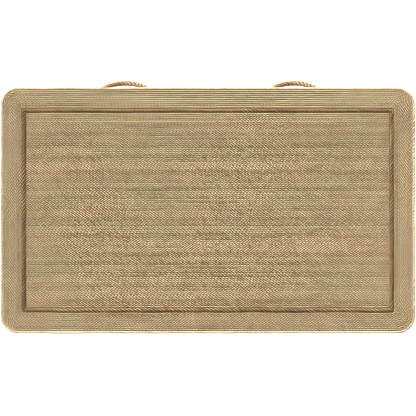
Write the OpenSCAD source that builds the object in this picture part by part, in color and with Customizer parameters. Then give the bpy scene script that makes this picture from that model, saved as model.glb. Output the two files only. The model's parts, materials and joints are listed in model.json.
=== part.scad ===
// Lidded woven storage basket with two rope pull handles on one long side.
// Millimetres. +Z is up, the origin is on the floor under the middle of the basket,
// and +Y points to the side that carries the handles.

/* [Lid] */
// Width of the lid over its skirt, along X
lid_w = 914; // [820:2:1000]
// Depth of the lid over its skirt, along Y
lid_d = 543; // [480:1:620]
// Outer radius of the lid's corners
lid_corner_r = 39; // [36:1:60]
// Drop of the woven skirt below the lid's top face
skirt_drop = 37; // [30:1:60]
// Thickness of the woven skirt
skirt_t = 6; // [5:0.5:8]
// Width of the woven border, from the lid's edge to the accent rope's channel
border_w = 46.5; // [40:0.5:60]
// Thickness of the stiff board inside the lid
board_t = 4; // [3:0.5:6]
// Thickness of one layer of twisted cord
cord_t = 5; // [4:0.5:6]
// Diameter of the dark accent rope round the panel
accent_rope_d = 9.5; // [8:0.5:10]
// Width of the channel that the accent rope lies in
accent_channel_w = 10.5; // [10.5:0.5:13]
// Diameter of the rope round the skirt's lower edge
edge_rope_d = 8; // [6:0.5:8]
// Diameter of the lid's wires
lid_wire_d = 4; // [3:0.5:4]

/* [Basket] */
// Height from the floor to the top of the rim rope
body_h = 150; // [130:1:200]
// Thickness of the woven walls
wall_t = 6; // [5:0.5:7]
// Running gap between the lid's wires and the walls
lid_gap = 2; // [1.5:0.5:4]
// Diameter of the rope under the walls
foot_rope_d = 9.5; // [8:0.5:10]
// How far the basket's weight flattens the underside of that rope
foot_flat = 0.5; // [0.3:0.1:1]
// Diameter of the rope on top of the walls
rim_rope_d = 9; // [8:0.5:10]
// Diameter of the base and rim wires
ring_wire_d = 5; // [4:0.5:6]
// Diameter of the upright wires
rib_wire_d = 4; // [3:0.5:4]
// Bend radius where a rib turns under the floor
rib_bend_r = 10; // [10:1:14]
// Distance between ribs along X
rib_pitch = 90; // [80:5:95]
// Distance between posts along the short sides
post_pitch = 80; // [60:5:85]

/* [Handles] */
// Diameter of the handle rope
rope_d = 10.2; // [9:0.2:10.6]
// Distance between the two holes of one handle
hole_spacing = 112; // [100:1:120]
// Height of the holes above the floor
hole_z = 80; // [70:1:90]
// Diameter of the holes in the wall
hole_d = 11.6; // [11:0.2:13]
// How far the loop reaches from the line through its holes
loop_reach = 36; // [30:1:40]
// Angle that the loop hangs below the horizontal
loop_drop = 55; // [40:1:70]
// Middle of the left handle, along X
left_handle_x = -184; // [-186:1:-180]
// Middle of the right handle, along X
right_handle_x = 195; // [191:1:196]
// Distance from the wall to the line that the loop swings about
pivot_out = 5.8; // [5.6:0.1:7]
// Diameter of the knots inside the wall
knot_d = 24; // [18:1:24]

/* [Hidden] */
$fn = 48;

// Gap between the closed lid's board and the rim rope
seat_gap = 0.3;
// Slack of a notch or a butted end round a wire
wire_slack = 0.5;

// Basket outline, which the lid goes over
body_inset = skirt_t + lid_wire_d + lid_gap;
body_w = lid_w - 2 * body_inset;
body_d = lid_d - 2 * body_inset;
body_corner_r = lid_corner_r - body_inset;
wall_bottom = foot_rope_d - foot_flat;
wall_h = body_h - wall_bottom - rim_rope_d;
wall_top = wall_bottom + wall_h;

// Wires of the basket, which stand against the inside of the walls
wire_inset = wall_t + ring_wire_d / 2;
wire_w = body_w - 2 * wire_inset;
wire_d = body_d - 2 * wire_inset;
wire_r = body_corner_r - wire_inset;
base_ring_z = wall_bottom + ring_wire_d / 2;
rim_ring_z = wall_top - ring_wire_d / 2;
rib_top = wall_top - ring_wire_d;
rib_floor_z = wall_bottom + ring_wire_d - rib_wire_d / 2;
rib_side = 4;
post_side = 2;
floor_bottom = rib_floor_z + rib_wire_d / 2;

// Lid levels, from the board up
board_bottom = body_h + seat_gap;
board_top = board_bottom + board_t;
weave_top = board_top + cord_t;
skirt_bottom = weave_top - skirt_drop;
skirt_in_w = lid_w - 2 * skirt_t;
skirt_in_d = lid_d - 2 * skirt_t;
skirt_in_r = lid_corner_r - skirt_t;
channel_w = lid_w - 2 * border_w;
channel_d = lid_d - 2 * border_w;
panel_w = channel_w - 2 * accent_channel_w;
panel_d = channel_d - 2 * accent_channel_w;
lid_wire_inset = skirt_t + lid_wire_d / 2;
lid_ring_z = skirt_bottom + lid_wire_d / 2;
lid_post_step = 2;

// Handle loop: an arc through both pivots
loop_r = (pow(hole_spacing / 2, 2) + pow(loop_reach, 2)) / (2 * loop_reach);
loop_half_angle = asin(hole_spacing / 2 / loop_r);
// The loop's rounded ends are this much thinner than the rope
rope_end_step = 0.4;

grass = [0.68, 0.60, 0.46];
grass_dark = [0.52, 0.42, 0.28];
rope_gold = [0.71, 0.59, 0.44];
iron = [0.20, 0.19, 0.18];
hardboard = [0.42, 0.31, 0.22];

// ---- shared shapes ----

// Middles of the four corner arcs, anticlockwise from +X +Y
function corner_middles(w, d, r) = [
    for (s = [[1, 1], [-1, 1], [-1, -1], [1, -1]]) [s[0] * (w / 2 - r), s[1] * (d / 2 - r)]
];

module rounded_rect(w, d, r) {
    square([w - 2 * r, d], center = true);
    square([w, d - 2 * r], center = true);
    for (p = corner_middles(w, d, r)) translate(p) circle(r);
}

// A round wire or rope along a rounded rectangle, w by d on its centreline
module round_ring(w, d, r, thick) {
    for (s = [-1, 1]) {
        translate([0, s * d / 2, 0]) rotate([0, 90, 0])
            cylinder(h = w - 2 * r, d = thick, center = true);
        translate([s * w / 2, 0, 0]) rotate([90, 0, 0])
            cylinder(h = d - 2 * r, d = thick, center = true);
    }
    for (q = [0 : 3]) translate(corner_middles(w, d, r)[q]) rotate([0, 0, 90 * q])
        rotate_extrude(angle = 90) translate([r, 0]) circle(d = thick);
}

// The four upright corner pieces of a woven wall
module corner_walls(w, d, r, t, h) {
    for (q = [0 : 3]) translate(corner_middles(w, d, r)[q]) rotate([0, 0, 90 * q])
        rotate_extrude(angle = 90) translate([r - t, 0]) square([t, h]);
}

// A straight stretch of woven wall along X, its outer face at y = 0
module straight_wall(length, t, h) {
    translate([-length / 2, -t, 0]) cube([length, t, h]);
}

// Where uprights stand round a rounded rectangle: long sides, short sides, corners
function long_side_places(w, d, pitch, side, step) = [
    for (s = [-1, 1], i = [-side : step : side]) [i * pitch, s * d / 2]
];
function short_side_places(w, d, pitch, side, step) = [
    for (s = [-1, 1], i = [-side : step : side]) [s * w / 2, i * pitch]
];
function corner_places(w, d, r) = [
    for (q = [0 : 3]) corner_middles(w, d, r)[q] + r * [cos(90 * q + 45), sin(90 * q + 45)]
];

// ---- basket frame ----

module base_ring() {
    color(iron) translate([0, 0, base_ring_z]) round_ring(wire_w, wire_d, wire_r, ring_wire_d);
}

module rim_ring() {
    color(iron) translate([0, 0, rim_ring_z]) round_ring(wire_w, wire_d, wire_r, ring_wire_d);
}

// One wire bent to a U: down one long wall, under the floor and up the other
module frame_rib() {
    for (s = [0, 180]) rotate([0, 0, s]) {
        translate([0, wire_d / 2, rib_floor_z + rib_bend_r])
            cylinder(h = rib_top - rib_floor_z - rib_bend_r, d = rib_wire_d);
        translate([0, wire_d / 2 - rib_bend_r, rib_floor_z + rib_bend_r])
            rotate([0, 90, 0]) rotate_extrude(angle = 90)
                translate([rib_bend_r, 0]) circle(d = rib_wire_d);
    }
    translate([0, 0, rib_floor_z]) rotate([90, 0, 0])
        cylinder(h = wire_d - 2 * rib_bend_r, d = rib_wire_d, center = true);
}

module frame_ribs() {
    color(iron) for (i = [-rib_side : rib_side]) translate([i * rib_pitch, 0, 0]) frame_rib();
}

function post_places() = concat(
    short_side_places(wire_w, wire_d, post_pitch, post_side, 1),
    corner_places(wire_w, wire_d, wire_r)
);

module frame_posts() {
    color(iron) for (p = post_places()) translate([p[0], p[1], floor_bottom])
        cylinder(h = rib_top - floor_bottom, d = rib_wire_d);
}

// ---- basket weave ----

module floor_weave() {
    notch = rib_wire_d + 2 * wire_slack;
    edge_reach = 2 * wire_inset;
    ribs = long_side_places(wire_w, wire_d, rib_pitch, rib_side, 1);
    color(grass) difference() {
        translate([0, 0, floor_bottom]) linear_extrude(cord_t)
            rounded_rect(body_w - 2 * wall_t, body_d - 2 * wall_t, body_corner_r - wall_t);
        for (p = ribs) translate([p[0] - notch / 2, p[1] - sign(p[1]) * rib_bend_r, 0])
            translate([0, p[1] > 0 ? 0 : -edge_reach, 0]) cube([notch, edge_reach, body_h]);
        for (p = short_side_places(wire_w, wire_d, post_pitch, post_side, 1))
            translate([p[0] - (p[0] > 0 ? notch / 2 : edge_reach - notch / 2), p[1] - notch / 2, 0])
                cube([edge_reach, notch, body_h]);
        for (q = [0 : 3]) translate(corner_places(wire_w, wire_d, wire_r)[q])
            rotate([0, 0, 90 * q + 45]) translate([-notch / 2, -notch / 2, 0])
                cube([edge_reach, notch, body_h]);
    }
}

module long_wall() {
    translate([0, body_d / 2, wall_bottom])
        straight_wall(body_w - 2 * body_corner_r, wall_t, wall_h);
}

module short_wall() {
    translate([body_w / 2, 0, wall_bottom]) rotate([0, 0, -90])
        straight_wall(body_d - 2 * body_corner_r, wall_t, wall_h);
}

// Middles of a handle's two holes along X
function hole_places(handle_x) = [handle_x - hole_spacing / 2, handle_x + hole_spacing / 2];

module front_wall() {
    color(grass) difference() {
        long_wall();
        for (x = concat(hole_places(left_handle_x), hole_places(right_handle_x)))
            translate([x, body_d / 2, hole_z]) rotate([90, 0, 0])
                cylinder(h = 3 * wall_t, d = hole_d, center = true);
    }
}

module back_wall() {
    color(grass) rotate([0, 0, 180]) long_wall();
}

module left_wall() {
    color(grass) rotate([0, 0, 180]) short_wall();
}

module right_wall() {
    color(grass) short_wall();
}

module wall_corners() {
    color(grass) translate([0, 0, wall_bottom])
        corner_walls(body_w, body_d, body_corner_r, wall_t, wall_h);
}

// A rope flush with the outside of the walls, its underside at z
module wall_rope(z, thick) {
    color(grass) translate([0, 0, z + thick / 2])
        round_ring(body_w - thick, body_d - thick, body_corner_r - thick / 2, thick);
}

// Its underside is flat, where the basket stands on it
module foot_rope() {
    color(grass) difference() {
        wall_rope(-foot_flat, foot_rope_d);
        translate([-body_w / 2, -body_d / 2, -foot_rope_d]) cube([body_w, body_d, foot_rope_d]);
    }
}

module rim_rope() {
    wall_rope(wall_top, rim_rope_d);
}

// ---- handles ----

// The rope's ends: through the wall, with a knot against its inside
module handle_knots(handle_x) {
    color(rope_gold) for (x = hole_places(handle_x)) translate([x, body_d / 2 - wall_t, hole_z]) {
        translate([0, -knot_d / 2, 0]) sphere(d = knot_d);
        rotate([-90, 0, 0]) translate([0, 0, -knot_d / 2])
            cylinder(h = wall_t + knot_d / 2, d = rope_d);
    }
}

// The loop outside the wall, hanging at its rest angle
module handle_rope(handle_x) {
    color(rope_gold) translate([handle_x, body_d / 2 + pivot_out, hole_z])
        rotate([-loop_drop, 0, 0]) {
            translate([0, loop_reach - loop_r, 0]) rotate([0, 0, 90 - loop_half_angle])
                rotate_extrude(angle = 2 * loop_half_angle)
                    translate([loop_r, 0]) circle(d = rope_d);
            for (s = [-1, 1]) translate([s * hole_spacing / 2, 0, 0])
                rotate([0, 90, 0]) sphere(d = rope_d - rope_end_step);
        }
}

module left_handle_knots() {
    handle_knots(left_handle_x);
}

module right_handle_knots() {
    handle_knots(right_handle_x);
}

module left_handle_rope() {
    handle_rope(left_handle_x);
}

module right_handle_rope() {
    handle_rope(right_handle_x);
}

// ---- lid ----

module lid_board() {
    color(hardboard) translate([0, 0, board_bottom]) linear_extrude(board_t)
        rounded_rect(skirt_in_w, skirt_in_d, skirt_in_r);
}

lid_wire_w = lid_w - 2 * lid_wire_inset;
lid_wire_depth = lid_d - 2 * lid_wire_inset;
lid_wire_r = lid_corner_r - lid_wire_inset;

module lid_ring() {
    color(iron) translate([0, 0, lid_ring_z])
        round_ring(lid_wire_w, lid_wire_depth, lid_wire_r, lid_wire_d);
}

module lid_posts() {
    places = concat(
        long_side_places(lid_wire_w, lid_wire_depth, rib_pitch, rib_side, lid_post_step),
        short_side_places(lid_wire_w, lid_wire_depth, post_pitch, post_side, lid_post_step),
        corner_places(lid_wire_w, lid_wire_depth, lid_wire_r)
    );
    foot = lid_ring_z + lid_wire_d / 2;
    color(iron) for (p = places) translate([p[0], p[1], foot])
        cylinder(h = board_bottom - foot, d = lid_wire_d);
}

module lid_panel() {
    color(grass) translate([0, 0, board_top]) linear_extrude(cord_t)
        square([panel_w, panel_d], center = true);
}

// Four straight runs that meet at sharp corners
module accent_rope() {
    run_w = channel_w - accent_channel_w;
    run_d = channel_d - accent_channel_w;
    color(grass_dark) translate([0, 0, board_top + accent_rope_d / 2]) {
        for (s = [-1, 1]) {
            translate([0, s * run_d / 2, 0]) rotate([0, 90, 0])
                cylinder(h = run_w, d = accent_rope_d, center = true);
            translate([s * run_w / 2, 0, 0]) rotate([90, 0, 0])
                cylinder(h = run_d, d = accent_rope_d, center = true);
        }
        for (p = corner_middles(run_w, run_d, 0)) translate(p) sphere(d = accent_rope_d);
    }
}

module lid_border() {
    color(grass) translate([0, 0, board_top]) linear_extrude(cord_t) difference() {
        rounded_rect(skirt_in_w, skirt_in_d, skirt_in_r);
        square([channel_w, channel_d], center = true);
    }
}

module long_skirt() {
    translate([0, lid_d / 2, skirt_bottom])
        straight_wall(lid_w - 2 * lid_corner_r, skirt_t, skirt_drop);
}

module short_skirt() {
    translate([lid_w / 2, 0, skirt_bottom]) rotate([0, 0, -90])
        straight_wall(lid_d - 2 * lid_corner_r, skirt_t, skirt_drop);
}

module lid_front_skirt() {
    color(grass) long_skirt();
}

module lid_back_skirt() {
    color(grass) rotate([0, 0, 180]) long_skirt();
}

module lid_left_skirt() {
    color(grass) rotate([0, 0, 180]) short_skirt();
}

module lid_right_skirt() {
    color(grass) short_skirt();
}

module lid_skirt_corners() {
    color(grass) translate([0, 0, skirt_bottom])
        corner_walls(lid_w, lid_d, lid_corner_r, skirt_t, skirt_drop);
}

module lid_edge_rope() {
    color(grass) translate([0, 0, skirt_bottom - edge_rope_d / 2])
        round_ring(lid_w - edge_rope_d, lid_d - edge_rope_d,
                   lid_corner_r - edge_rope_d / 2, edge_rope_d);
}

// ---- assembly ----

base_ring();
rim_ring();
frame_ribs();
frame_posts();
floor_weave();
front_wall();
back_wall();
left_wall();
right_wall();
wall_corners();
foot_rope();
rim_rope();
left_handle_knots();
right_handle_knots();
left_handle_rope();
right_handle_rope();
lid_board();
lid_ring();
lid_posts();
lid_panel();
accent_rope();
lid_border();
lid_front_skirt();
lid_back_skirt();
lid_left_skirt();
lid_right_skirt();
lid_skirt_corners();
lid_edge_rope();
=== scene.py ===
"""Lidded woven storage basket: twisted grass cords over a wire frame, with two rope handles.

Lengths are in metres, in the frame's own axes: +Z is up and +Y points to the handles.
"""

from __future__ import annotations

import json
import logging
import math
import random
from collections.abc import Iterable, Mapping, Sequence
from dataclasses import dataclass, field
from enum import Enum

import bpy
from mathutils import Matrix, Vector

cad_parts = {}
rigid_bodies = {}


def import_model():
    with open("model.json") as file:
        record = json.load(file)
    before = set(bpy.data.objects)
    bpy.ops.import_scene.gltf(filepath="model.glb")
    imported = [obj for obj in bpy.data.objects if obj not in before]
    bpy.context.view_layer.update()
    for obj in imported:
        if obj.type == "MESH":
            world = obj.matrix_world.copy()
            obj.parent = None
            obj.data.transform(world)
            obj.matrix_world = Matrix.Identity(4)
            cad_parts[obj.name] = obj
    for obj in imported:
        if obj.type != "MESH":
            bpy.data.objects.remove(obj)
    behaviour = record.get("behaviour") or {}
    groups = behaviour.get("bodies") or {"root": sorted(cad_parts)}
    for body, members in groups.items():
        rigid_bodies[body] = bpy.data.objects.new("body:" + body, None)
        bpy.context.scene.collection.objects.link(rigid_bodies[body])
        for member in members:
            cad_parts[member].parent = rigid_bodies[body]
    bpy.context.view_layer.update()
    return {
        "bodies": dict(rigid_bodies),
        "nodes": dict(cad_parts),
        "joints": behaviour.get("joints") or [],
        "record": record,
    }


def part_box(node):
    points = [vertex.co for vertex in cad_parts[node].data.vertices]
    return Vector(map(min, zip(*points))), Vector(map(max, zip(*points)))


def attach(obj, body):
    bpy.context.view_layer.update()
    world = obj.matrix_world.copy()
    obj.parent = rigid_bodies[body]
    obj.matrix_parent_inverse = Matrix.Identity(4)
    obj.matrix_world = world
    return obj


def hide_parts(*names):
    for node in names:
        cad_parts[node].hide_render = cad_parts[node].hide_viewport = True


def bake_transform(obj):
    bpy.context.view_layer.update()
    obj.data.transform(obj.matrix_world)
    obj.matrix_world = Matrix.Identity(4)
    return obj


LOG = logging.getLogger("basket")
MM = 0.001
FULL_TURN = 2 * math.pi

Line = list[Vector]
Colour = tuple[float, float, float]
Ramp = tuple[float, float, float, float]
Socket = bpy.types.NodeSocket


# ---------------------------------------------------------------- measuring the frame


@dataclass(frozen=True)
class Span:
    """The box that a CAD node fills at rest."""

    lo: Vector
    hi: Vector

    @classmethod
    def of(cls, node: str) -> Span:
        """Return the box of one CAD node, by its name."""
        lo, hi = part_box(node)
        return cls(Vector(lo), Vector(hi))

    @property
    def size(self) -> Vector:
        """Return the box's width, depth and height."""
        return self.hi - self.lo

    @property
    def middle(self) -> Vector:
        """Return the box's middle."""
        return (self.lo + self.hi) / 2

    def corner_past(self, straight: str) -> float:
        """Return the radius of this box's round corners, which start past a straight side."""
        return self.hi.x - Span.of(straight).hi.x


# ---------------------------------------------------------------- node trees


class NodeSheet:
    """Adds nodes to a tree, sets their inputs and joins them, one call for each node.

    A Mix node has its own sockets for each type of value. The places that start with mix are
    those of its colours.
    """

    mix_first = 6
    mix_second = 7
    mix_result = 2

    def __init__(self, tree: bpy.types.NodeTree) -> None:
        """Keep the tree that the nodes go into."""
        self.tree = tree

    def add(
        self, kind: str, inputs: dict[str | int, object] | None = None, **settings: object
    ) -> bpy.types.Node:
        """Add one node.

        Args:
            kind: The node's type name.
            inputs: Values or output sockets for its inputs, by name or place.
            settings: The node's own properties, set before its inputs.

        Returns:
            The new node.
        """
        node = self.tree.nodes.new(kind)
        for key, value in settings.items():
            setattr(node, key, value)
        for key, value in (inputs or {}).items():
            self.feed(node.inputs[key], value)
        return node

    def feed(self, socket: Socket, value: object) -> None:
        """Join an output to an input, or set the input's own value.

        Args:
            socket: The input.
            value: An output socket, or a plain value.
        """
        if isinstance(value, Socket):
            self.tree.links.new(value, socket)
        else:
            socket.default_value = value

    def math(self, operation: str, first: object, second: object = 0.0) -> Socket:
        """Return the result of one sum on numbers."""
        return self.add("ShaderNodeMath", {0: first, 1: second}, operation=operation).outputs[0]

    def scaled_plus(self, value: object, times: object, plus: object) -> Socket:
        """Return a number times a second one, plus a third."""
        inputs = {0: value, 1: times, 2: plus}
        return self.add("ShaderNodeMath", inputs, operation="MULTIPLY_ADD").outputs[0]

    def centred(self, share: object) -> Socket:
        """Return a number between 0 and 1 as one between -0.5 and 0.5."""
        return self.math("SUBTRACT", share, 0.5)

    def vector(self, operation: str, first: object, second: object) -> Socket:
        """Return the result of one sum on vectors."""
        node = self.add("ShaderNodeVectorMath", {0: first, 1: second}, operation=operation)
        return node.outputs[0]

    def scaled(self, vector: object, by: object) -> Socket:
        """Return a vector times a number."""
        node = self.add("ShaderNodeVectorMath", {0: vector, "Scale": by}, operation="SCALE")
        return node.outputs[0]

    def length(self, vector: object) -> Socket:
        """Return how long a vector is."""
        node = self.add("ShaderNodeVectorMath", {0: vector}, operation="LENGTH")
        return node.outputs["Value"]

    def joined(self, x: object, y: object, z: object) -> Socket:
        """Return a vector made of three numbers."""
        return self.add("ShaderNodeCombineXYZ", {0: x, 1: y, 2: z}).outputs[0]

    def noise(
        self, vector: object, scale: object, detail: float = 2.0, rough: float = 0.5
    ) -> bpy.types.Node:
        """Return a noise node that reads the vector."""
        inputs = {"Vector": vector, "Scale": scale, "Detail": detail, "Roughness": rough}
        return self.add("ShaderNodeTexNoise", inputs)

    def remapped(
        self, value: object, low: object, high: object, to_low: object, to_high: object
    ) -> Socket:
        """Return a number moved from one range to another, and held inside it."""
        inputs = {0: value, 1: low, 2: high, 3: to_low, 4: to_high}
        return self.add("ShaderNodeMapRange", inputs).outputs[0]

    def blended(self, share: object, first: object, second: object, how: str = "MIX") -> Socket:
        """Make a colour between two others.

        Args:
            share: How far from the first to the second.
            first: The first colour.
            second: The second colour.
            how: How the second works on the first.

        Returns:
            The blended colour.
        """
        inputs = {0: share, self.mix_first: first, self.mix_second: second}
        node = self.add("ShaderNodeMix", inputs, data_type="RGBA", blend_type=how)
        return node.outputs[self.mix_result]

    def bump(self, strength: float, depth: float, height: Socket) -> Socket:
        """Return a normal that follows a height."""
        inputs = {"Strength": strength, "Distance": depth, "Height": height}
        return self.add("ShaderNodeBump", inputs).outputs["Normal"]


def open_sockets(
    tree: bpy.types.NodeTree,
    inputs: Sequence[tuple[str, str]],
    outputs: Sequence[tuple[str, str]],
) -> None:
    """Give a tree its named inputs and outputs.

    Args:
        tree: The tree.
        inputs: Each input's name and its type, without the common prefix.
        outputs: Each output's, likewise.
    """
    for way, sockets in (("INPUT", inputs), ("OUTPUT", outputs)):
        for name, kind in sockets:
            tree.interface.new_socket(name, in_out=way, socket_type=f"NodeSocket{kind}")


# ---------------------------------------------------------------- shared effects


class Attribute(Enum):
    """What each cord's mesh says about its own points."""

    RUN = "run"
    CORD = "cord"
    AROUND = "around"


@dataclass(frozen=True)
class Streaks:
    """One scale of streaks in the grass, all stretched along the cord.

    Attributes:
        per_metre: How often they change along a metre of cord.
        across: How often they change across the cord's radius.
        detail: How many finer layers are added.
        rough: How strong the finer layers are.
        cord_shift: How far apart two cords' streaks lie, so that none repeats another.
    """

    per_metre: float
    across: float
    detail: float = 2.0
    rough: float = 0.5
    cord_shift: float = 173.0


class CordPlace:
    """Says where a shaded point is: how far along its cord, where round it, and on which."""

    def __init__(self, sheet: NodeSheet) -> None:
        """Read what the cord's mesh says.

        Args:
            sheet: The sheet on a material's or an effect's tree.
        """
        self.sheet = sheet
        self.run = self.read(Attribute.RUN, "Fac")
        self.cord = self.read(Attribute.CORD, "Fac")
        self.around = self.read(Attribute.AROUND, "Vector")

    def read(self, attribute: Attribute, output: str) -> Socket:
        """Return one attribute, as a number or a vector."""
        node = self.sheet.add("ShaderNodeAttribute", attribute_name=attribute.value)
        return node.outputs[output]

    def streaked(self, kind: Streaks) -> Socket:
        """Make noise that is stretched along the cord.

        Args:
            kind: The scale of the streaks.

        Returns:
            The noise, between 0 and 1.
        """
        sheet = self.sheet
        side = sheet.add("ShaderNodeSeparateXYZ", {0: self.around}).outputs
        place = sheet.joined(
            sheet.scaled_plus(
                self.run, kind.per_metre, sheet.math("MULTIPLY", self.cord, kind.cord_shift)
            ),
            sheet.math("MULTIPLY", side[0], kind.across),
            sheet.math("MULTIPLY", side[1], kind.across),
        )
        return sheet.noise(place, 1.0, kind.detail, kind.rough).outputs["Fac"]


@dataclass(frozen=True)
class GrassEffect:
    """The fibre effect that every cord and rope uses.

    Each ramp holds the range that it reads and the range that it gives.

    Attributes:
        fibre: The single fibres.
        blade: The flat blades that a strand is twisted from.
        stretch: Slow changes of colour along a cord.
        fleck: Short dark flecks.
        blade_contrast: How much lighter and darker the blades are than the middle.
        cord_contrast: The same for whole cords.
        dark_tones: Ramp from the dark colour to the middle one.
        light_tones: Ramp from the middle colour to the light one.
        warm_tones: Ramp into the warm colour.
        fibre_shades: Ramp of the shade that the fibres give.
        fleck_shades: Ramp of the shade that the flecks give.
        groove_shade_depth: How far below its top a groove's painted shade is darkest, as a share
            of the radius.
        roughness: Ramp of the roughness that the fibres give.
        blade_relief: How high the blades stand, as a share of the fibres' height.
    """

    fibre: Streaks = Streaks(110.0, 7.0, 3.0, 0.6)
    blade: Streaks = Streaks(45.0, 1.3, 2.0, 0.55)
    stretch: Streaks = Streaks(5.0, 0.35)
    fleck: Streaks = Streaks(210.0, 2.6, 1.0)
    blade_contrast: float = 2.6
    cord_contrast: float = 0.25
    dark_tones: Ramp = (0.15, 0.5, 0.0, 1.0)
    light_tones: Ramp = (0.5, 0.95, 0.0, 1.0)
    warm_tones: Ramp = (0.56, 0.68, 0.0, 1.0)
    fibre_shades: Ramp = (0.25, 0.75, 0.80, 1.16)
    fleck_shades: Ramp = (0.30, 0.40, 0.66, 1.0)
    # Painted shade: how deep into a groove the darkening reaches.
    groove_shade_depth: float = 0.41
    roughness: Ramp = (0.3, 0.7, 0.78, 0.58)
    blade_relief: float = 0.6

    def build(self) -> bpy.types.NodeTree:
        """Build the effect.

        Returns:
            A shader group that puts out a colour, a roughness and a height, all following the
            strands.
        """
        tree = bpy.data.node_groups.new("Grass fibre", "ShaderNodeTree")
        # Groove is the painted shade colour of the grooves between strands.
        colours = [(name, "Color") for name in ("Dark", "Middle", "Light", "Warm", "Groove")]
        amounts = [(name, "Float") for name in ("Warm Share", "Spread", "Groove Shade Top")]
        results = [("Color", "Color"), ("Roughness", "Float"), ("Height", "Float")]
        open_sockets(tree, colours + amounts, results)
        sheet = NodeSheet(tree)
        given = sheet.add("NodeGroupInput").outputs
        place = CordPlace(sheet)
        fibre = place.streaked(self.fibre)
        blade = place.streaked(self.blade)
        colour = self.coloured(sheet, given, place, blade)
        shade = sheet.math(
            "MULTIPLY",
            sheet.remapped(fibre, *self.fibre_shades),
            sheet.remapped(place.streaked(self.fleck), *self.fleck_shades),
        )
        rough = sheet.remapped(fibre, *self.roughness)
        height = sheet.math("ADD", fibre, sheet.math("MULTIPLY", blade, self.blade_relief))
        sheet.add(
            "NodeGroupOutput",
            {"Color": sheet.scaled(colour, shade), "Roughness": rough, "Height": height},
        )
        return tree

    def coloured(
        self, sheet: NodeSheet, given: Mapping[str, Socket], place: CordPlace, blade: Socket
    ) -> Socket:
        """Colour the blades and the warm stretches, and paint shade into the grooves.

        Args:
            sheet: The sheet on the effect's tree.
            given: The effect's inputs.
            place: Where the shaded point is.
            blade: The blades' noise.

        Returns:
            The colour, not yet shaded by fibres and flecks.
        """
        stretch = place.streaked(self.stretch)
        tone = sheet.scaled_plus(sheet.centred(blade), self.blade_contrast, 0.5)
        row_tone = sheet.scaled_plus(
            sheet.centred(place.cord), self.cord_contrast, sheet.centred(stretch)
        )
        tone = sheet.math("ADD", tone, sheet.math("MULTIPLY", row_tone, given["Spread"]))
        to_middle = sheet.remapped(tone, *self.dark_tones)
        to_light = sheet.remapped(tone, *self.light_tones)
        colour = sheet.blended(to_middle, given["Dark"], given["Middle"])
        colour = sheet.blended(to_light, colour, given["Light"])
        warm = sheet.remapped(stretch, *self.warm_tones)
        warm = sheet.math("MULTIPLY", warm, given["Warm Share"])
        colour = sheet.blended(warm, colour, given["Warm"])
        # Painted shade: darken towards the groove colour where the point lies low between the
        # strands.
        groove_shade_floor = sheet.math("SUBTRACT", given["Groove Shade Top"], self.groove_shade_depth)
        ridge = sheet.length(place.around)
        depth = sheet.remapped(ridge, groove_shade_floor, given["Groove Shade Top"], 1.0, 0.0)
        return sheet.blended(depth, colour, given["Groove"], "MULTIPLY")


@dataclass(frozen=True)
class WearEffect:
    """The patchy wear that the wires and the board share.

    Attributes:
        detail: How many finer layers the patches' outlines have.
        rough: How ragged those outlines are.
        strength: Ramp of how worn a patch is.
        grit_scale: How fine the grit is.
    """

    detail: float = 5.0
    rough: float = 0.65
    strength: Ramp = (0.4, 0.8, 0.4, 1.0)
    grit_scale: float = 900.0

    def build(self) -> bpy.types.NodeTree:
        """Build the effect.

        Returns:
            A shader group that puts out a mask of worn patches and a fine grit height.
        """
        tree = bpy.data.node_groups.new("Patchy wear", "ShaderNodeTree")
        open_sockets(
            tree,
            [("Vector", "Vector"), ("Patch Scale", "Float"), ("Coverage", "Float")],
            [("Worn", "Float"), ("Grit", "Float")],
        )
        sheet = NodeSheet(tree)
        given = sheet.add("NodeGroupInput").outputs
        patch = sheet.noise(given["Vector"], given["Patch Scale"], self.detail, self.rough)
        patch = patch.outputs["Fac"]
        bare = sheet.math("GREATER_THAN", patch, sheet.math("SUBTRACT", 1.0, given["Coverage"]))
        worn = sheet.math("MULTIPLY", bare, sheet.remapped(patch, *self.strength))
        grit = sheet.noise(given["Vector"], self.grit_scale).outputs["Fac"]
        sheet.add("NodeGroupOutput", {"Worn": worn, "Grit": grit})
        return tree


# ---------------------------------------------------------------- finishes


def rgba(colour: Colour) -> tuple[float, float, float, float]:
    """Return an opaque colour with its fourth number."""
    return (*colour, 1.0)


def new_material(name: str) -> tuple[bpy.types.Material, NodeSheet, bpy.types.Node]:
    """Start a material.

    Args:
        name: The material's name.

    Returns:
        The material, a sheet on its nodes, and its Principled BSDF.
    """
    material = bpy.data.materials.new(name)
    material.use_nodes = True
    return material, NodeSheet(material.node_tree), material.node_tree.nodes["Principled BSDF"]


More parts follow.
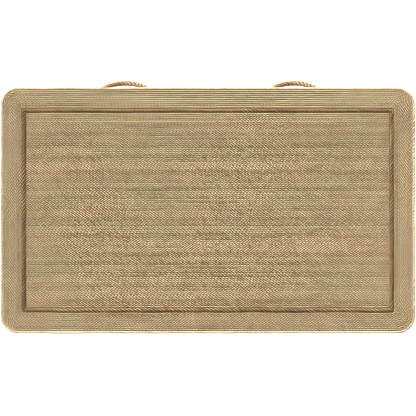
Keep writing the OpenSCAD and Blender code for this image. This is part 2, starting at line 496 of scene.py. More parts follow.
@dataclass(frozen=True)
class GrassFinish:
    """Dried, twisted grass or rope.

    Attributes:
        name: The material's name.
        slot: The record's material slot.
        dark: Colour of the darkest blades.
        middle: Colour of most blades.
        light: Colour of the lightest blades.
        warm: Colour of the reddish stretches.
        groove: The painted shade colour that the grooves between the strands multiply the colour
            by.
        groove_shade_top: Where a groove's painted shade starts, as a share of the cord's radius.
        warm_share: How far the reddish stretches go to the warm colour.
        spread: How much cords and stretches of cord differ.
        bump_strength: How strong the relief is.
        bump_depth: How deep it is.
        specular: How strong the gloss is.
    """

    name: str
    slot: str
    dark: Colour
    middle: Colour
    light: Colour
    warm: Colour
    # Painted shade colour for the grooves between strands.
    groove: Colour = (0.28, 0.23, 0.14)
    groove_shade_top: float = 0.97
    warm_share: float = 0.6
    spread: float = 1.2
    bump_strength: float = 0.7
    bump_depth: float = 0.35 * MM
    specular: float = 0.3

    def material(self, fibre: bpy.types.NodeTree) -> bpy.types.Material:
        """Make the finish's material.

        Args:
            fibre: The shared fibre effect.

        Returns:
            The material.
        """
        material, sheet, shader = new_material(self.name)
        values = {
            "Dark": rgba(self.dark),
            "Middle": rgba(self.middle),
            "Light": rgba(self.light),
            "Warm": rgba(self.warm),
            # Painted shade: the grooves' colour and where their darkening starts.
            "Groove": rgba(self.groove),
            "Warm Share": self.warm_share,
            "Spread": self.spread,
            "Groove Shade Top": self.groove_shade_top,
        }
        effect = sheet.add("ShaderNodeGroup", values, node_tree=fibre).outputs
        bump = sheet.bump(self.bump_strength, self.bump_depth, effect["Height"])
        sheet.feed(shader.inputs["Base Color"], effect["Color"])
        sheet.feed(shader.inputs["Roughness"], effect["Roughness"])
        sheet.feed(shader.inputs["Normal"], bump)
        shader.inputs["Specular IOR Level"].default_value = self.specular
        return material


@dataclass(frozen=True)
class WireFinish:
    """Black painted steel wire, rubbed bare in small patches.

    Attributes:
        name: The material's name.
        paint: The paint's colour.
        bare: The bare steel's colour.
        coverage: How easily the paint is rubbed off.
        patch_scale: How small the bare patches are.
        roughness: Ramp from painted to bare.
        bump_strength: How strong the grit is.
        bump_depth: How deep it is.
    """

    name: str = "Painted wire"
    paint: Colour = (0.018, 0.017, 0.016)
    bare: Colour = (0.30, 0.26, 0.22)
    coverage: float = 0.36
    patch_scale: float = 120.0
    roughness: Ramp = (0.0, 1.0, 0.42, 0.68)
    bump_strength: float = 0.4
    bump_depth: float = 0.2 * MM

    def material(self, wear: bpy.types.NodeTree) -> bpy.types.Material:
        """Make the finish's material.

        Args:
            wear: The shared wear effect.

        Returns:
            The material.
        """
        material, sheet, shader = new_material(self.name)
        values = {
            "Vector": sheet.add("ShaderNodeTexCoord").outputs["Object"],
            "Patch Scale": self.patch_scale,
            "Coverage": self.coverage,
        }
        effect = sheet.add("ShaderNodeGroup", values, node_tree=wear).outputs
        colour = sheet.blended(effect["Worn"], rgba(self.paint), rgba(self.bare))
        rough = sheet.remapped(effect["Worn"], *self.roughness)
        bump = sheet.bump(self.bump_strength, self.bump_depth, effect["Grit"])
        sheet.feed(shader.inputs["Base Color"], colour)
        sheet.feed(shader.inputs["Metallic"], effect["Worn"])
        sheet.feed(shader.inputs["Roughness"], rough)
        sheet.feed(shader.inputs["Normal"], bump)
        return material


@dataclass(frozen=True)
class BoardFinish:
    """Dark brown hardboard: pressed fibres, a little worn.

    Attributes:
        name: The material's name.
        pale: Colour of the palest fibres.
        dark: Colour of the darkest fibres.
        worn: Colour of the worn patches.
        coverage: How easily the surface wears.
        patch_scale: How small the worn patches are.
        worn_share: How far a patch goes to the worn colour.
        fibre: The fibres' noise: its scale, its detail and its roughness.
        fibre_tones: Ramp from the dark colour to the pale one.
        roughness: Ramp of the roughness that the fibres give.
        bump_strength: How strong the fibres' relief is.
        bump_depth: How deep it is.
    """

    name: str = "Brown hardboard"
    pale: Colour = (0.165, 0.095, 0.048)
    dark: Colour = (0.085, 0.047, 0.023)
    worn: Colour = (0.23, 0.15, 0.085)
    coverage: float = 0.38
    patch_scale: float = 14.0
    worn_share: float = 0.4
    fibre: tuple[float, float, float] = (260.0, 4.0, 0.7)
    fibre_tones: Ramp = (0.35, 0.65, 0.0, 1.0)
    roughness: Ramp = (0.3, 0.7, 0.55, 0.75)
    bump_strength: float = 0.5
    bump_depth: float = 0.2 * MM

    def material(self, wear: bpy.types.NodeTree) -> bpy.types.Material:
        """Make the finish's material.

        Args:
            wear: The shared wear effect.

        Returns:
            The material.
        """
        material, sheet, shader = new_material(self.name)
        place = sheet.add("ShaderNodeTexCoord").outputs["Object"]
        fibres = sheet.noise(place, *self.fibre).outputs["Fac"]
        tone = sheet.remapped(fibres, *self.fibre_tones)
        colour = sheet.blended(tone, rgba(self.dark), rgba(self.pale))
        values = {"Vector": place, "Patch Scale": self.patch_scale, "Coverage": self.coverage}
        effect = sheet.add("ShaderNodeGroup", values, node_tree=wear).outputs
        share = sheet.math("MULTIPLY", effect["Worn"], self.worn_share)
        colour = sheet.blended(share, colour, rgba(self.worn))
        rough = sheet.remapped(fibres, *self.roughness)
        bump = sheet.bump(self.bump_strength, self.bump_depth, fibres)
        sheet.feed(shader.inputs["Base Color"], colour)
        sheet.feed(shader.inputs["Roughness"], rough)
        sheet.feed(shader.inputs["Normal"], bump)
        return material


WEAVE = GrassFinish(
    name="Seagrass cord",
    slot="seagrass",
    dark=(0.300, 0.200, 0.085),
    middle=(0.690, 0.530, 0.330),
    light=(0.940, 0.820, 0.670),
    warm=(0.700, 0.440, 0.190),
)
EDGE_ROPE = GrassFinish(
    name="Seagrass rope",
    slot="seagrass_rope",
    dark=(0.260, 0.180, 0.085),
    middle=(0.580, 0.445, 0.250),
    light=(0.820, 0.690, 0.480),
    warm=(0.600, 0.370, 0.150),
)
ACCENT = GrassFinish(
    name="Dark accent rope",
    slot="dark_rope",
    dark=(0.200, 0.110, 0.040),
    middle=(0.600, 0.360, 0.125),
    light=(0.930, 0.690, 0.340),
    warm=(0.580, 0.260, 0.070),
    # Deep painted shade in the grooves, starting above the strands' tops so that it darkens them
    # too.
    groove=(0.06, 0.035, 0.015),
    groove_shade_top=1.08,
)
HANDLE = GrassFinish(
    name="Golden handle rope",
    slot="handle_rope",
    dark=(0.170, 0.090, 0.030),
    middle=(0.430, 0.285, 0.135),
    light=(0.720, 0.570, 0.375),
    warm=(0.490, 0.225, 0.060),
    # Painted shade in the grooves, starting just above the strands' tops.
    groove=(0.14, 0.085, 0.040),
    groove_shade_top=1.04,
)


class Workshop:
    """Holds the shared effects and hands out each finish's material once."""

    def __init__(self) -> None:
        """Build the shared effects."""
        self.fibre = GrassEffect().build()
        self.wear = WearEffect().build()
        self.made: dict[str, bpy.types.Material] = {}

    def grass(self, finish: GrassFinish) -> bpy.types.Material:
        """Make a grass finish's material, or find the one made before.

        Args:
            finish: The finish.

        Returns:
            Its material.
        """
        if finish.name not in self.made:
            self.made[finish.name] = finish.material(self.fibre)
        return self.made[finish.name]

    def hard(self, finish: WireFinish | BoardFinish) -> bpy.types.Material:
        """Make a wire's or a board's material, or find the one made before.

        Args:
            finish: The finish.

        Returns:
            Its material.
        """
        if finish.name not in self.made:
            self.made[finish.name] = finish.material(self.wear)
        return self.made[finish.name]


# ---------------------------------------------------------------- cords


@dataclass(frozen=True)
class CordKind:
    """How one kind of cord or rope is twisted.

    Attributes:
        diameter: Thickness over the strands.
        lay: Length of one full turn of a strand.
        strands: How many strands are twisted together.
        steps: Rings of points in one turn.
        groove: Depth of the groove between strands, as a share of the radius.
        gauge_spread: How much the thickness wanders, as a share of it.
        wander: How far the cord strays from its line, along each axis.
        nesting: How surely each cord's wide places meet its neighbour's narrow ones.
        seed: Fixes its chance variation.
    """

    diameter: float
    lay: float
    strands: int = 2
    steps: int = 6
    groove: float = 0.68
    gauge_spread: float = 0.14
    wander: tuple[float, float, float] = (0.0, 0.0, 0.0)
    nesting: float = 0.0
    seed: int = 1


class CordMaker:
    """Turns lines into twisted cords with one Geometry Nodes tree.

    Attributes:
        points_per_strand: Points across one strand in the cord's outline.
        wander_scale: How quickly the cords' stray changes from place to place.
        run_shift: How far apart two cords' patterns may lie along them.
        gauge_scale: How quickly a cord's thickness changes along it.
        gauge_shift: How far apart two cords lie in the noise of the thickness.
        nested_turn: How far each nested cord is turned against the one before.
    """

    points_per_strand = 4
    wander_scale = 14.0
    run_shift = 10.0
    gauge_scale = 35.0
    gauge_shift = 71.0
    nested_turn = 0.25

    def __init__(self) -> None:
        """Build the tree."""
        self.tree = bpy.data.node_groups.new("Twisted cord", "GeometryNodeTree")
        self.build()

    def build(self) -> None:
        """Fill the tree: even steps, stray, twist, thickness, outline, sweep."""
        open_sockets(
            self.tree,
            [
                ("Lines", "Geometry"),
                ("Diameter", "Float"),
                ("Lay", "Float"),
                ("Strands", "Int"),
                ("Steps", "Int"),
                ("Groove", "Float"),
                ("Gauge Spread", "Float"),
                ("Wander", "Vector"),
                ("Nesting", "Float"),
                ("Seed", "Int"),
                ("Finish", "Material"),
            ],
            [("Cords", "Geometry")],
        )
        sheet = NodeSheet(self.tree)
        given = sheet.add("NodeGroupInput").outputs
        step = sheet.math("DIVIDE", given["Lay"], given["Steps"])
        even = sheet.add(
            "GeometryNodeResampleCurve", {"Curve": given["Lines"], "Length": step}, mode="LENGTH"
        )
        strayed = self.stray(sheet, given, even.outputs["Curve"])
        which = sheet.add("GeometryNodeCurveOfPoint").outputs["Curve Index"]
        chance = sheet.add(
            "FunctionNodeRandomValue", {"ID": which, "Seed": given["Seed"]}, data_type="FLOAT"
        ).outputs[1]
        along = sheet.add("GeometryNodeSplineParameter").outputs["Length"]
        run = sheet.scaled_plus(chance, self.run_shift, along)
        cords = self.twist(sheet, given, strayed, which, chance)
        cords = self.store(sheet, cords, Attribute.RUN, run)
        cords = self.store(sheet, cords, Attribute.CORD, chance)
        swept = sheet.add(
            "GeometryNodeCurveToMesh",
            {
                "Curve": cords,
                "Profile Curve": self.outline(sheet, given),
                "Scale": self.gauge(sheet, given, run, chance),
                "Fill Caps": True,
            },
        )
        smooth = sheet.add("GeometryNodeSetShadeSmooth", {"Geometry": swept.outputs["Mesh"]})
        real = sheet.add("GeometryNodeRealizeInstances", {"Geometry": smooth.outputs["Geometry"]})
        dressed = sheet.add(
            "GeometryNodeSetMaterial",
            {"Geometry": real.outputs["Geometry"], "Material": given["Finish"]},
        )
        sheet.add("NodeGroupOutput", {"Cords": dressed.outputs["Geometry"]})

    def stray(self, sheet: NodeSheet, given: Mapping[str, Socket], curve: Socket) -> Socket:
        """Move the lines a little, neighbours together.

        Args:
            sheet: The sheet on the tree.
            given: The tree's inputs.
            curve: The lines.

        Returns:
            The moved lines.
        """
        here = sheet.add("GeometryNodeInputPosition").outputs[0]
        drift = sheet.noise(here, self.wander_scale).outputs["Color"]
        drift = sheet.vector("SUBTRACT", drift, (0.5, 0.5, 0.5))
        drift = sheet.vector("MULTIPLY", drift, given["Wander"])
        moved = sheet.add("GeometryNodeSetPosition", {"Geometry": curve, "Offset": drift})
        return moved.outputs["Geometry"]

    def twist(
        self,
        sheet: NodeSheet,
        given: Mapping[str, Socket],
        curve: Socket,
        which: Socket,
        chance: Socket,
    ) -> Socket:
        """Turn the strands along each line, a whole number of times so that a ring closes.

        Args:
            sheet: The sheet on the tree.
            given: The tree's inputs.
            curve: The lines.
            which: Each line's number.
            chance: Each line's chance value.

        Returns:
            The lines with their tilt.
        """
        factor = sheet.add("GeometryNodeSplineParameter").outputs["Factor"]
        length = sheet.add("GeometryNodeSplineLength").outputs["Length"]
        turns = sheet.math("ROUND", sheet.math("DIVIDE", length, given["Lay"]))
        angle = sheet.math("MULTIPLY", sheet.math("MULTIPLY", factor, turns), FULL_TURN)
        by_chance = sheet.math("MULTIPLY", chance, sheet.math("SUBTRACT", 1.0, given["Nesting"]))
        by_turn = sheet.math("MULTIPLY", which, self.nested_turn)
        by_turn = sheet.math("MULTIPLY", by_turn, given["Nesting"])
        start = sheet.math("MULTIPLY", sheet.math("ADD", by_chance, by_turn), FULL_TURN)
        tilt = sheet.math("ADD", angle, start)
        tilted = sheet.add("GeometryNodeSetCurveTilt", {"Curve": curve, "Tilt": tilt})
        return tilted.outputs["Curve"]

    def gauge(
        self, sheet: NodeSheet, given: Mapping[str, Socket], run: Socket, chance: Socket
    ) -> Socket:
        """Let the thickness wander along each cord.

        Args:
            sheet: The sheet on the tree.
            given: The tree's inputs.
            run: How far along its cord a point is.
            chance: Each line's chance value.

        Returns:
            The thickness, as a share of the cord's own.
        """
        place = sheet.joined(run, sheet.math("MULTIPLY", chance, self.gauge_shift), 0.0)
        noise = sheet.noise(place, self.gauge_scale).outputs["Fac"]
        wave = sheet.math("MULTIPLY", sheet.centred(noise), 2.0)
        return sheet.math("ADD", sheet.math("MULTIPLY", wave, given["Gauge Spread"]), 1.0)

    def store(
        self,
        sheet: NodeSheet,
        geometry: Socket,
        attribute: Attribute,
        value: Socket,
        kind: str = "FLOAT",
    ) -> Socket:
        """Write one value onto the points.

        Args:
            sheet: The sheet on the tree.
            geometry: What carries the points.
            attribute: What the value says.
            value: The value.
            kind: The value's type.

        Returns:
            The geometry with the value on it.
        """
        inputs = {"Geometry": geometry, "Name": attribute.value, "Value": value}
        node = sheet.add("GeometryNodeStoreNamedAttribute", inputs, data_type=kind, domain="POINT")
        return node.outputs["Geometry"]

    def outline(self, sheet: NodeSheet, given: Mapping[str, Socket]) -> Socket:
        """Draw the cord's cross-section: a ring with a groove between each two strands.

        Args:
            sheet: The sheet on the tree.
            given: The tree's inputs.

        Returns:
            The closed outline, which remembers where round the cord each point is.
        """
        count = sheet.math("MULTIPLY", given["Strands"], float(self.points_per_strand))
        ring = sheet.add("GeometryNodeCurvePrimitiveCircle", {"Resolution": count, "Radius": 1.0})
        index = sheet.add("GeometryNodeInputIndex").outputs[0]
        wave = sheet.math("SINE", sheet.math("MULTIPLY", index, math.pi / self.points_per_strand))
        wave = sheet.math("POWER", sheet.math("ABSOLUTE", wave), given["Strands"])
        reach = sheet.math("SUBTRACT", 1.0, sheet.math("MULTIPLY", wave, given["Groove"]))
        here = sheet.add("GeometryNodeInputPosition").outputs[0]
        inputs = {"Geometry": ring.outputs["Curve"], "Position": sheet.scaled(here, reach)}
        lobed = sheet.add("GeometryNodeSetPosition", inputs).outputs["Geometry"]
        marked = self.store(sheet, lobed, Attribute.AROUND, here, "FLOAT_VECTOR")
        radius = sheet.math("DIVIDE", given["Diameter"], 2.0)
        inputs = {"Geometry": marked, "Position": sheet.scaled(here, radius)}
        return sheet.add("GeometryNodeSetPosition", inputs).outputs["Geometry"]

    def make(
        self,
        name: str,
        lines: Iterable[Line],
        kind: CordKind,
        material: bpy.types.Material,
        closed: bool = False,
    ) -> bpy.types.Object:
        """Make one piece of many cords.

        Args:
            name: The piece's name.
            lines: The line that each cord follows.
            kind: How the cords are twisted.
            material: Their material.
            closed: True where each line runs back into its start.

        Returns:
            A plain mesh object at the origin.
        """
        source = curve_object(f"{name}_lines", lines, closed)
        modifier = source.modifiers.new("Twisted cord", "NODES")
        modifier.node_group = self.tree
        values = {
            "Diameter": kind.diameter,
            "Lay": kind.lay,
            "Strands": kind.strands,
            "Steps": kind.steps,
            "Groove": kind.groove,
            "Gauge Spread": kind.gauge_spread,
            "Wander": kind.wander,
            "Nesting": kind.nesting,
            "Seed": kind.seed,
            "Finish": material,
        }
        for item in self.tree.interface.items_tree:
            if item.in_out == "INPUT" and item.name in values:
                modifier[item.identifier] = values[item.name]
        return plain_mesh(name, source)


def curve_object(name: str, lines: Iterable[Line], closed: bool) -> bpy.types.Object:
    """Make a curve object with one straight-stepped spline for each line.

    Args:
        name: The object's name.
        lines: The lines.
        closed: True where each line runs back into its start.

    Returns:
        The curve object, in the scene.
    """
    curve = bpy.data.curves.new(name, "CURVE")
    curve.dimensions = "3D"
    for line in lines:
        spline = curve.splines.new("POLY")
        spline.points.add(len(line) - 1)
        spline.points.foreach_set("co", [c for p in line for c in (p.x, p.y, p.z, 1.0)])
        spline.use_cyclic_u = closed
    made = bpy.data.objects.new(name, curve)
    bpy.context.scene.collection.objects.link(made)
    return made


def plain_mesh(name: str, source: bpy.types.Object) -> bpy.types.Object:
    """Turn an object and its live tree into a plain mesh object, and remove the object.

    Args:
        name: The mesh object's name.
        source: The object with the tree on it.

    Returns:
        The mesh object, in the scene and without modifiers.
    """
    graph = bpy.context.evaluated_depsgraph_get()
    mesh = bpy.data.meshes.new_from_object(
        source.evaluated_get(graph), preserve_all_data_layers=True, depsgraph=graph
    )
    mesh.name = name
    source.modifiers.clear()
    bpy.data.objects.remove(source)
    made = bpy.data.objects.new(name, mesh)
    bpy.context.scene.collection.objects.link(made)
    return made


# ---------------------------------------------------------------- lines that cords follow


def row_lines(
    lo: Vector, hi: Vector, z: float, pitch: float, loose: float = 0.0, seed: int = 1
) -> list[Line]:
    """Lay straight rows along X across a rectangle.

    Args:
        lo: The rectangle's lowest corner.
        hi: Its highest corner.
        z: Height of the rows' middles.
        pitch: Wanted distance between rows.
        loose: How far a row may lie from its even place.
        seed: Fixes the rows' chance places.

    Returns:
        One line for each row, spaced so that they fill the rectangle.
    """
    levels = evenly(max(1, round((hi.y - lo.y) / pitch)), lo.y, hi.y)
    return [[Vector((lo.x, y, z)), Vector((hi.x, y, z))] for y in loosened(levels, loose, seed)]


def rounded_loop(
    half_x: float, half_y: float, radius: float, z: float, arc_steps: int = 10
) -> Line:
    """Draw a closed rectangle with round corners, anticlockwise from above.

    Args:
        half_x: Half its width.
        half_y: Half its depth.
        radius: Its corners' radius.
        z: Its height.
        arc_steps: Steps in each corner.

    Returns:
        Its points, the first not repeated.
    """
    points = []
    for quarter, (sx, sy) in enumerate(((1, 1), (-1, 1), (-1, -1), (1, -1))):
        middle = Vector((sx * (half_x - radius), sy * (half_y - radius), z))
        for i in range(arc_steps + 1):
            angle = math.radians(90 * quarter + 90 * i / arc_steps)
            points.append(middle + radius * Vector((math.cos(angle), math.sin(angle), 0)))
    return points


def loop_inside(span: Span, inset: float, radius: float, z: float) -> Line:
    """Return a round-cornered loop that lies an inset inside a box's four sides."""
    return rounded_loop(span.hi.x - inset, span.hi.y - inset, radius, z)


def evenly(count: int, low: float, high: float) -> list[float]:
    """Return the middles of count equal steps from low to high."""
    step = (high - low) / count
    return [low + (i + 0.5) * step for i in range(count)]


def loosened(levels: Sequence[float], by: float, seed: int) -> list[float]:
    """Return levels each moved by chance, at most so far."""
    chance = random.Random(seed)
    return [level + chance.uniform(-by, by) for level in levels]


def in_batches(items: Sequence[Line], count: int) -> list[list[Line]]:
    """Split a sequence into count runs of nearly equal length."""
    cuts = [round(i * len(items) / count) for i in range(count + 1)]
    return [list(items[a:b]) for a, b in zip(cuts, cuts[1:])]


def smoothed(points: Sequence[Vector], steps: int) -> Line:
    """Draw a Catmull-Rom curve through points.

    Args:
        points: The points, from one end to the other.
        steps: Steps in each stretch between two of them.

    Returns:
        The curve's points, with both ends.
    """
    ends = [2 * points[0] - points[1], *points, 2 * points[-1] - points[-2]]
    line = []
    for a, b, c, d in zip(ends, ends[1:], ends[2:], ends[3:]):
        for i in range(steps):
            t = i / steps
            twice = (
                2 * b
                + (c - a) * t
                + (2 * a - 5 * b + 4 * c - d) * t * t
                + (3 * b - a - 3 * c + d) * t**3
            )
            line.append(0.5 * twice)
    return [*line, points[-1].copy()]


def line_length(line: Line) -> float:
    """Return how long a line is."""
    return sum((b - a).length for a, b in zip(line, line[1:]))


# ---------------------------------------------------------------- finished pieces


class Body(Enum):
    """The bodies that the joints join."""

    BASKET = "basket"
    LID = "lid"
    LEFT_HANDLE = "left_handle"
    RIGHT_HANDLE = "right_handle"


class Side(Enum):
    """The two handles, by which side of the front wall they are on."""

    LEFT = "left"
    RIGHT = "right"

    @property
    def joint(self) -> str:
        """Return the name of the joint that the loop swings on."""
        return f"{self.value}_handle_swing"

    @property
    def body(self) -> Body:
        """Return the body that the loop is."""
        return Body(f"{self.value}_handle")


def hole_points(side: Side) -> list[Vector]:
    """Find where a handle's two holes open on the outside of the front wall.

    Args:
        side: Which handle.

    Returns:
        The left hole's point and the right hole's.
    """
    knots = Span.of(f"{side.value}_handle_knots")
    half = (knots.size.x - knots.size.z) / 2
    middle = knots.middle
    front = Span.of("front_wall").hi.y
    return [Vector((middle.x + s * half, front, middle.z)) for s in (-1, 1)]


def press_flat(piece: bpy.types.Object, z: float) -> None:
    """Raise a piece's lowest points to a level, as its weight does on a floor."""
    for vertex in piece.data.vertices:
        vertex.co.z = max(vertex.co.z, z)


def put_on(node: bpy.types.Object, material: bpy.types.Material) -> None:
    """Give a CAD node one material in place of its own."""
    node.data.materials.clear()
    node.data.materials.append(material)


def settle(piece: bpy.types.Object, body: Body, slot: str, *nodes: str) -> None:
    """Fix a finished piece to its body.

    Args:
        piece: The finished piece.
        body: The CAD body that carries it.
        slot: The record's material slot; not used.
        nodes: The CAD nodes that it stands for.
    """
    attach(piece, body.value)
    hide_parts(*nodes)
    LOG.info("%s: %d faces on %s", piece.name, len(piece.data.polygons), body.value)


# ---------------------------------------------------------------- the basket


@dataclass
class WovenFloor:
    """The cords that the basket's floor is laid with.

    Attributes:
        cord: The rows' cord.
        pitch: Distance between rows.
        pieces: How many pieces the rows are made in.
        end_inset: How far the rows stop short of the walls.
    """

    cord: CordKind = CordKind(
        diameter=6.5 * MM,
        lay=17 * MM,
        steps=4,
        groove=0.4,
        wander=(0, 1.2 * MM, 0),
        nesting=0.9,
        seed=11,
    )
    pitch: float = 4.8 * MM
    pieces: int = 3
    end_inset: float = 0.6 * MM

    def build(self, maker: CordMaker, shop: Workshop) -> None:
        """Lay the rows, shortened where the corners are round.

        Args:
            maker: Twists the cords.
            shop: Hands out the material.
        """
        span = Span.of("floor_weave")
        corner = span.corner_past("front_wall")
        rows = row_lines(span.lo, span.hi, span.middle.z, self.pitch)
        rows = [self.fitted(row, span, corner) for row in rows]
        for i, batch in enumerate(in_batches(rows, self.pieces), 1):
            piece = maker.make(f"floor_cords_{i}", batch, self.cord, shop.grass(WEAVE))
            settle(piece, Body.BASKET, WEAVE.slot, "floor_weave")

    def fitted(self, row: Line, span: Span, corner: float) -> Line:
        """Shorten a row to end at the round corners.

        Args:
            row: The row's two ends.
            span: The floor's box.
            corner: The corners' radius.

        Returns:
            The shortened row.
        """
        into = max(0.0, abs(row[0].y) - (span.hi.y - corner))
        cut = corner - math.sqrt(max(0.0, corner**2 - into**2)) + self.end_inset
        return [row[0] + Vector((cut, 0, 0)), row[1] - Vector((cut, 0, 0))]


@dataclass
class WovenWalls:
    """The stacked cords of the four walls, which part round the handles' holes.

    Attributes:
        cord: The rings' cord.
        pitch: Distance between rings.
        bands: How many pieces the rings are made in.
        part_by: How far the rings next to a hole give way.
        part_reach: How far above and below a hole rings still give way.
        part_width: How far to each side of a hole they do.
        near_hole: How far from a hole a ring has extra points.
        near_step: Distance between those points.
        flush: How near the front a point has to lie to count as on it.
    """

    cord: CordKind = CordKind(
        diameter=6.3 * MM,
        lay=14.5 * MM,
        steps=5,
        groove=0.4,
        gauge_spread=0.08,
        wander=(0.9 * MM, 0.9 * MM, 0.9 * MM),
        nesting=0.9,
        seed=21,
    )
    pitch: float = 4.6 * MM
    bands: int = 4
    part_by: float = 5.2 * MM
    part_reach: float = 13 * MM
    part_width: float = 8 * MM
    near_hole: float = 26 * MM
    near_step: float = 2 * MM
    flush: float = 0.1 * MM

    def build(self, maker: CordMaker, shop: Workshop) -> None:
        """Stack the rings, in bands.

        Args:
            maker: Twists the cords.
            shop: Hands out the material.
        """
        wall = Span.of("wall_corners")
        inset = self.cord.diameter / 2
        radius = wall.corner_past("front_wall") - inset
        holes = [p for side in Side for p in hole_points(side)]
        levels = evenly(round(wall.size.z / self.pitch), wall.lo.z, wall.hi.z)
        rings = [self.parted(loop_inside(wall, inset, radius, z), holes) for z in levels]
        nodes = ("front_wall", "back_wall", "left_wall", "right_wall", "wall_corners")
        for i, band in enumerate(in_batches(rings, self.bands), 1):
            piece = maker.make(f"wall_cords_{i}", band, self.cord, shop.grass(WEAVE), closed=True)
            settle(piece, Body.BASKET, WEAVE.slot, *nodes)

    def parted(self, ring: Line, holes: Sequence[Vector]) -> Line:
        """Make a ring give way to the ropes in the holes.

        Args:
            ring: The ring's points.
            holes: Where the holes are.

        Returns:
            The ring with extra points near each hole, pushed up or down from it.
        """
        front = max(p.y for p in ring)
        start = max(range(len(ring)), key=lambda i: (ring[i].y > front - self.flush, ring[i].x))
        level = ring[start].z
        steps = round(self.near_hole / self.near_step)
        extra = []
        for hole in sorted(holes, key=lambda p: -p.x):
            away = level - hole.z
            most = math.copysign(self.part_by, away) * math.exp(-abs(away) / self.part_reach)
            for i in range(-steps, steps + 1):
                x = hole.x - i * self.near_step
                push = most * math.exp(-(((x - hole.x) / self.part_width) ** 2))
                extra.append(Vector((x, front, level + push)))
        return ring[: start + 1] + extra + ring[start + 1 :]


@dataclass
class WallRopes:
    """The thicker ropes under and on top of the walls."""

    rope: CordKind = CordKind(
        diameter=9.8 * MM,
        lay=24 * MM,
        strands=3,
        steps=10,
        groove=0.42,
        wander=(0.4 * MM, 0.4 * MM, 0),
        seed=31,
    )

    def build(self, maker: CordMaker, shop: Workshop) -> None:
        """Lay each rope in the middle of its CAD node.

        Args:
            maker: Twists the ropes.
            shop: Hands out the material.
        """
        inset = self.rope.diameter / 2
        radius = Span.of("wall_corners").corner_past("front_wall") - inset
        for node in ("foot_rope", "rim_rope"):
            span = Span.of(node)
            loop = loop_inside(span, inset, radius, span.hi.z - inset)
            material = shop.grass(EDGE_ROPE)
            piece = maker.make(f"{node}_twist", [loop], self.rope, material, closed=True)
            press_flat(piece, span.lo.z)
            settle(piece, Body.BASKET, EDGE_ROPE.slot, node)


@dataclass
class WireWork:
    """The wires of the basket and of the lid, which keep their CAD shapes."""

    nodes: tuple[str, ...] = (
        "base_ring",
        "rim_ring",
        "frame_ribs",
        "frame_posts",
        "lid_ring",
        "lid_posts",
    )
    finish: WireFinish = field(default_factory=WireFinish)

    def dress(self, frame: dict, shop: Workshop) -> None:
        """Give each wire node its paint.

        Args:
            frame: The loaded frame.
            shop: Hands out the material.
        """
        for name in self.nodes:
            put_on(frame["nodes"][name], shop.hard(self.finish))
            LOG.info("%s: painted", name)


# ---------------------------------------------------------------- the handles


@dataclass(frozen=True)
class KnotShape:
    """How the end of a handle's rope is knotted against the inside of the wall.

    Attributes:
        radius: How wide the rope coils.
        turns: How many turns it makes.
        steps: Points in the coil.
        opening: How fast the coil opens to its full width, in coils.
        far: How far from the wall the coil starts.
        near: How far it comes back towards the wall.
        entry: Where the rope comes out of the wall, and where it turns into the coil.
        tail: The two points of the loose end, from the coil's last one.
        smoothing: Steps in each stretch between two points.
    """

    radius: float = 7.6 * MM
    turns: float = 1.6
    steps: int = 18
    opening: float = 5.0
    far: float = 19 * MM
    near: float = 14 * MM
    entry: tuple[float, float] = (3 * MM, -9 * MM)
    tail: tuple[tuple[float, float, float], ...] = (
        (2 * MM, -2 * MM, -9 * MM),
        (3 * MM, -6 * MM, -19 * MM),
    )
    smoothing: int = 3

    def line(self, hole: Vector) -> Line:
        """Draw the line of the knotted rope.

        Args:
            hole: Where the hole opens on the outside of the wall.

        Returns:
            The line's points, from inside the wall to the loose end.
        """
        wall_inside = Vector((hole.x, Span.of("front_wall").lo.y, hole.z))
        points = [wall_inside + Vector((0, y, 0)) for y in self.entry]
        for i in range(self.steps + 1):
            share = i / self.steps
            angle = FULL_TURN * self.turns * share - math.pi / 2
            wide = self.radius * min(1.0, share * self.opening)
            out = -self.far + self.near * share
            turned = Vector((wide * math.cos(angle), out, wide * math.sin(angle)))
            points.append(wall_inside + turned)
        last = points[-1]
        points += [last + Vector(offset) for offset in self.tail]
        return smoothed(points, self.smoothing)


